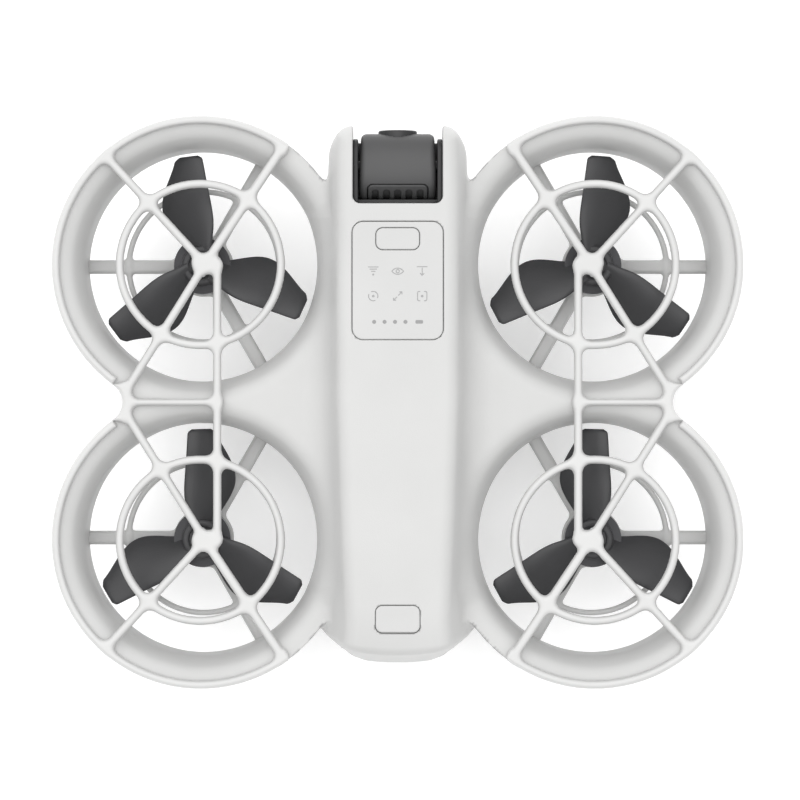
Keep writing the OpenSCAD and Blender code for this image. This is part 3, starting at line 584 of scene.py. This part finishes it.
def icons():
    """Six small line symbols: signal, eye, landing, orbit, zoom, frame."""
    py = (plo[1] + phi[1]) / 2
    w = 0.11                            # half width of a line

    def at(i, j):
        return 5.5 * (i - 1), py + 2.1 - 5.6 * j

    def plan(x, y):
        d = np.full_like(x, 9.0)

        def add(e):
            np.minimum(d, e, out=d)
        cx, cy = at(0, 0)
        for half, v in ((1.1, 0.95), (0.75, 0.45), (0.4, -0.05)):
            add(seg(x - cx, y - cy, (-half, v), (half, v)) - w)
        add(np.hypot(x - cx, y - cy + 0.75) - 0.24)
        cx, cy = at(1, 0)
        almond = np.maximum(np.hypot(x - cx, y - cy + 0.85), np.hypot(x - cx, y - cy - 0.85))
        add(np.abs(almond - 1.55) - w)
        add(np.abs(np.hypot(x - cx, y - cy) - 0.36) - w)
        cx, cy = at(2, 0)
        add(seg(x - cx, y - cy, (-1.1, 1.0), (1.1, 1.0)) - w)
        for a, b in (((0, 0.7), (0, -0.9)), ((0, -0.95), (0.42, -0.5)), ((0, -0.95), (-0.42, -0.5))):
            add(seg(x - cx, y - cy, a, b) - w)
        cx, cy = at(0, 1)
        u, v = x - cx, y - cy
        arc = np.abs(np.hypot(u, v) - 1.05) - w
        add(np.maximum(arc, 0.35 - np.abs(u * 0.7 + v * 0.7)))
        add(np.hypot(u, v) - 0.3)
        cx, cy = at(1, 1)
        for s in (1, -1):
            for end in ((0.2, 0.2), (0.45, 0.95), (0.95, 0.45)):
                add(seg(s * (x - cx), s * (y - cy), end, (0.95, 0.95)) - w)
        cx, cy = at(2, 1)
        u, v = np.abs(x - cx), np.abs(y - cy)
        add(np.maximum(np.abs(rbox2(u, v, 1.05, 1.05, 0.35)) - w, 0.4 - u))
        add(np.hypot(u, v) - 0.3)
        return d

    def f(x, y, z):
        return np.maximum(np.maximum(plan(x, y), z - ZT - 0.012), ZT - 0.2 - z)
    lo, hi = mm("panel_icons")
    V, Q, N = mesh_sdf(f, (lo[0] - 0.2, lo[1] - 0.2, ZT - 0.3),
                       (hi[0] + 0.2, hi[1] + 0.2, ZT + 0.15), detail(0.07), 2)
    piece("panel_symbols", V, Q, "airframe", ICON, ("panel_icons",), N)


# ---------------------------------------------------------------- materials
def plastic(name, rgb, rough, bump=0.02, scale=4200, spec=0.5, vary=0.03, metal=0.0, coat=0.0):
    """Procedural finish: fine grain in the bump, slow drift in colour and roughness."""
    m = bpy.data.materials.new(name)
    m.use_nodes = True
    nt = m.node_tree
    b = nt.nodes["Principled BSDF"]
    b.inputs["Specular IOR Level"].default_value = spec
    b.inputs["Metallic"].default_value = metal
    b.inputs["Coat Weight"].default_value = coat
    co = nt.nodes.new("ShaderNodeTexCoord")
    n1 = nt.nodes.new("ShaderNodeTexNoise")
    n1.inputs["Scale"].default_value = scale
    n1.inputs["Detail"].default_value = 3
    n2 = nt.nodes.new("ShaderNodeTexNoise")
    n2.inputs["Scale"].default_value = 45
    n2.inputs["Detail"].default_value = 4
    nt.links.new(co.outputs["Object"], n1.inputs["Vector"])
    nt.links.new(co.outputs["Object"], n2.inputs["Vector"])
    r = nt.nodes.new("ShaderNodeMapRange")
    r.inputs["To Min"].default_value = rough - 0.05
    r.inputs["To Max"].default_value = rough + 0.07
    nt.links.new(n2.outputs["Fac"], r.inputs["Value"])
    nt.links.new(r.outputs["Result"], b.inputs["Roughness"])
    c = nt.nodes.new("ShaderNodeValToRGB")
    c.color_ramp.elements[0].position = 0.3
    c.color_ramp.elements[1].position = 0.7
    c.color_ramp.elements[0].color = (*[v * (1 - vary) for v in rgb], 1)
    c.color_ramp.elements[1].color = (*[min(1, v * (1 + vary)) for v in rgb], 1)
    nt.links.new(n2.outputs["Fac"], c.inputs["Fac"])
    nt.links.new(c.outputs["Color"], b.inputs["Base Color"])
    u = nt.nodes.new("ShaderNodeBump")
    u.inputs["Strength"].default_value = bump
    u.inputs["Distance"].default_value = 0.0001
    nt.links.new(n1.outputs["Fac"], u.inputs["Height"])
    nt.links.new(u.outputs["Normal"], b.inputs["Normal"])
    return m


WHITE = plastic("shell_white", (0.51, 0.51, 0.505), 0.44, 0.25)
# Guard white is a step lighter than the shell's white: painted light that makes the guard rims read
# brighter, as if lit more from above
GUARD_LIT = plastic("guard_white", (0.555, 0.555, 0.55), 0.42, 0.15)
PROP = plastic("prop_grey", (0.031, 0.031, 0.033), 0.42, 0.2, 3000, 0.45)
PANEL = plastic("panel_white", (0.50, 0.50, 0.496), 0.4, 0.15, 5200)
ICON = plastic("icon_grey", (0.30, 0.30, 0.30), 0.5, 0.1, 3000)
LED = plastic("light_diffuser", (0.22, 0.22, 0.22), 0.3, 0.1, 3000, 0.6)
CAMGREY = plastic("camera_grey", (0.052, 0.052, 0.053), 0.46, 0.3, 5200, 0.5, 0.05)
DARK = plastic("dark_plastic", (0.021, 0.021, 0.022), 0.42, 0.3, 4200, 0.4, 0.08)
GLASS = plastic("lens_glass", (0.006, 0.009, 0.02), 0.06, 0.01, 300, 0.9, 0.4, 0.0, 1.0)
BELL = plastic("bell_dark", (0.035, 0.035, 0.037), 0.34, 0.25, 3800, 0.5, 0.1, 0.75)
STEEL = plastic("steel", (0.55, 0.56, 0.57), 0.3, 0.3, 2500, 0.5, 0.06, 1.0)
ALU = plastic("aluminium", (0.72, 0.73, 0.74), 0.36, 0.4, 2200, 0.5, 0.05, 1.0)
COPPER = plastic("copper", (0.72, 0.33, 0.16), 0.3, 0.8, 2600, 0.5, 0.14, 1.0)
GOLD = plastic("contact_gold", (0.86, 0.62, 0.26), 0.24, 0.2, 2600, 0.5, 0.06, 1.0)
BOARD = plastic("board_green", (0.02, 0.13, 0.06), 0.38, 0.5, 1300, 0.5, 0.35)
CHIP = plastic("chip_black", (0.018, 0.018, 0.02), 0.55, 0.3, 3800, 0.4, 0.15)
CELL = plastic("cell_blue", (0.03, 0.10, 0.32), 0.32, 0.4, 900, 0.5, 0.12)
BATT = plastic("battery_grey", (0.50, 0.50, 0.495), 0.46, 0.3, 4200)
RUBBER = plastic("pad_rubber", (0.03, 0.03, 0.03), 0.8, 0.7, 2600, 0.25, 0.2)
SENSOR = plastic("sensor_dark", (0.03, 0.008, 0.016), 0.1, 0.05, 500, 0.8, 0.3, 0.0, 1.0)
SLOTS = {"shell_white": WHITE, "panel_white": PANEL, "guard_white": GUARD_LIT,
         "icon_grey": ICON, "light_diffuser": LED, "prop_grey": PROP,
         "camera_grey": CAMGREY, "dark_plastic": DARK, "lens_glass": GLASS,
         "lens_ring": DARK, "board_green": BOARD, "chip_black": CHIP,
         "steel": STEEL, "aluminium": ALU, "bell_dark": BELL, "copper": COPPER,
         "contact_gold": GOLD, "battery_grey": BATT, "cell_blue": CELL,
         "pad_rubber": RUBBER, "sensor_dark": SENSOR}
for sub in REC["subparts"]:
    ob = NODES[sub["node"]]
    for ms in ob.material_slots:
        ms.material = SLOTS[sub["material_slot"]]
NODES["camera_pivots"].material_slots[0].material = plastic(
    "steel_black", (0.05, 0.05, 0.052), 0.35, 0.3, 2500, 0.5, 0.1, 0.8)


# ---------------------------------------------------------------- build
V, Q, N = mesh_sdf(skin, (-CX - LIP - 1, -CY - LIP - 1, ZLOW - 1),
                   (CX + LIP + 1, CY + LIP + 1, ZT + 1), detail(0.55))
piece("shell_skin", V, Q, "airframe", WHITE, ("upper_shell", *DUCTS), N)
guards()
arm_frames()
for tag in SPIN:
    propeller(tag)
camera_head()
panel()
icons()
EDGES = {"belly_shell": 0.35, "battery_case": 0.3, "latch_left": 0.4, "latch_right": 0.4,
         "landing_pads": 0.25, "motor_bell_fl": 0.2, "motor_bell_fr": 0.2,
         "motor_bell_rl": 0.2, "motor_bell_rr": 0.2, "usb_socket": 0.12, "down_camera": 0.15}
for node, width in EDGES.items():
    mod = NODES[node].modifiers.new("edge", "BEVEL")
    mod.width = width / 1000
    mod.segments = 2
    mod.limit_method = "ANGLE"
    mod.angle_limit = math.radians(40)
    mod.harden_normals = True


# ---------------------------------------------------------------- floor, light, camera
PHOTO_PX = 800                          # side of the picture
PX_PER_M = 4405                         # scale of the view at the guards
CENTRE = (397.7, 402.3)                 # where the origin falls in the view
CAM_H = 1.05
SENSOR_MM = 36


def area(name, loc, size, power, aim=(0, 0, 0.02)):
    """A rectangular lamp aimed at the object."""
    l = bpy.data.lights.new(name, "AREA")
    l.shape = "RECTANGLE"
    l.size, l.size_y = size
    l.energy = power
    a = bpy.data.objects.new(name, l)
    bpy.context.scene.collection.objects.link(a)
    a.location = loc
    a.rotation_euler = (Vector(aim) - Vector(loc)).to_track_quat("-Z", "Y").to_euler()


def stage():
    """Floor, sky, lamps and a camera straight above."""
    me = bpy.data.meshes.new("floor")
    me.from_pydata([(-3, -3, 0), (3, -3, 0), (3, 3, 0), (-3, 3, 0)], [], [(0, 1, 2, 3)])
    o = bpy.data.objects.new("floor", me)
    bpy.context.scene.collection.objects.link(o)
    fl = plastic("floor_paper", (0.93, 0.93, 0.93), 0.8, 0.05, 900, 0.2, 0.003)
    shader = fl.node_tree.nodes["Principled BSDF"]
    shader.inputs["Emission Color"].default_value = (1, 1, 1, 1)
    shader.inputs["Emission Strength"].default_value = 0.22
    me.materials.append(fl)
    w = bpy.data.worlds.new("studio")
    w.use_nodes = True
    nt = w.node_tree
    nt.nodes["Background"].inputs["Color"].default_value = (1, 1, 1, 1)
    co = nt.nodes.new("ShaderNodeTexCoord")
    dot = nt.nodes.new("ShaderNodeVectorMath")
    dot.operation = "DOT_PRODUCT"
    dot.inputs[1].default_value = (0.0, 0.8, 0.6)
    mr = nt.nodes.new("ShaderNodeMapRange")
    mr.inputs["From Min"].default_value = -1
    mr.inputs["To Min"].default_value = 0.55
    mr.inputs["To Max"].default_value = 1.3
    nt.links.new(co.outputs["Generated"], dot.inputs[0])
    nt.links.new(dot.outputs["Value"], mr.inputs["Value"])
    nt.links.new(mr.outputs["Result"], nt.nodes["Background"].inputs["Strength"])
    bpy.context.scene.world = w
    area("overhead", (0.0, 0.1, 1.5), (1.3, 1.3), 8.5)
    area("key", (-0.7, 0.6, 0.9), (0.6, 0.6), 1.6)
    bpy.context.scene.view_settings.view_transform = "Standard"
    cam = bpy.data.cameras.new("camera")
    co = bpy.data.objects.new("camera", cam)
    bpy.context.scene.collection.objects.link(co)
    co.location = (0, 0, CAM_H)
    co.rotation_euler = (0, 0, 0)
    cam.sensor_width = SENSOR_MM
    cam.lens = SENSOR_MM * (CAM_H - ZL / 1000) / (PHOTO_PX / PX_PER_M)
    cam.shift_x = (PHOTO_PX / 2 - CENTRE[0]) / PHOTO_PX
    cam.shift_y = (CENTRE[1] - PHOTO_PX / 2) / PHOTO_PX
    cam.clip_start = 0.01
    bpy.context.scene.camera = co


stage()
